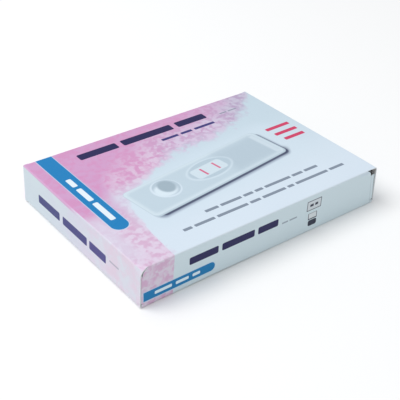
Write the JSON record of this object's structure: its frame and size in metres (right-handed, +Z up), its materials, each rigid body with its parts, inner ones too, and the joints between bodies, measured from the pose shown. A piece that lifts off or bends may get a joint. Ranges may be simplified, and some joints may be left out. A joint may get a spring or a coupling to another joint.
{
  "type": "tuck end carton",
  "caption": "Flat printed folding carton of carton board, glued along its back, closed at both ends by a hinged end flap with a tuck.",
  "frame": {"origin": "centre of the bottom panel's outer face, on the surface that the carton lies on", "axes": "+X along the length, towards the right end flap; +Y from the front panel to the back panel; +Z up, out of the top panel"},
  "size_m": [0.1514, 0.108, 0.022],
  "materials": {
    "body_board": "printed carton board, satin varnish outside, uncoated inside",
    "end_board": "printed carton board, satin varnish outside, uncoated inside",
    "tuck_board": "white carton board, satin varnish outside, uncoated inside"
  },
  "bodies": {
    "carton": {"carton_body": "body_board"},
    "left_flap": {"left_end_flap": "end_board"},
    "left_tuck": {"left_tuck_flap": "tuck_board"},
    "right_flap": {"right_end_flap": "end_board"},
    "right_tuck": {"right_tuck_flap": "tuck_board"}
  },
  "joints": [
    {"name": "left_flap_hinge", "type": "hinge", "parent": "carton", "child": "left_flap", "pos_m": [-0.07479, 0, 0.02179], "axis": [0, 1, 0], "range_deg": [0, 110]},
    {"name": "left_tuck_crease", "type": "hinge", "parent": "left_flap", "child": "left_tuck", "pos_m": [-0.07512, 0, 0.00136], "axis": [0, 1, 0], "range_deg": [-55, 0]},
    {"name": "right_flap_hinge", "type": "hinge", "parent": "carton", "child": "right_flap", "pos_m": [0.07479, 0, 0.02179], "axis": [0, -1, 0], "range_deg": [0, 110]},
    {"name": "right_tuck_crease", "type": "hinge", "parent": "right_flap", "child": "right_tuck", "pos_m": [0.07512, 0, 0.00136], "axis": [0, -1, 0], "range_deg": [-55, 0]}
  ],
  "couplings": [
    {"joint": "left_tuck_crease", "follows": "left_flap_hinge", "ratio": -0.5},
    {"joint": "right_tuck_crease", "follows": "right_flap_hinge", "ratio": -0.5}
  ]
}
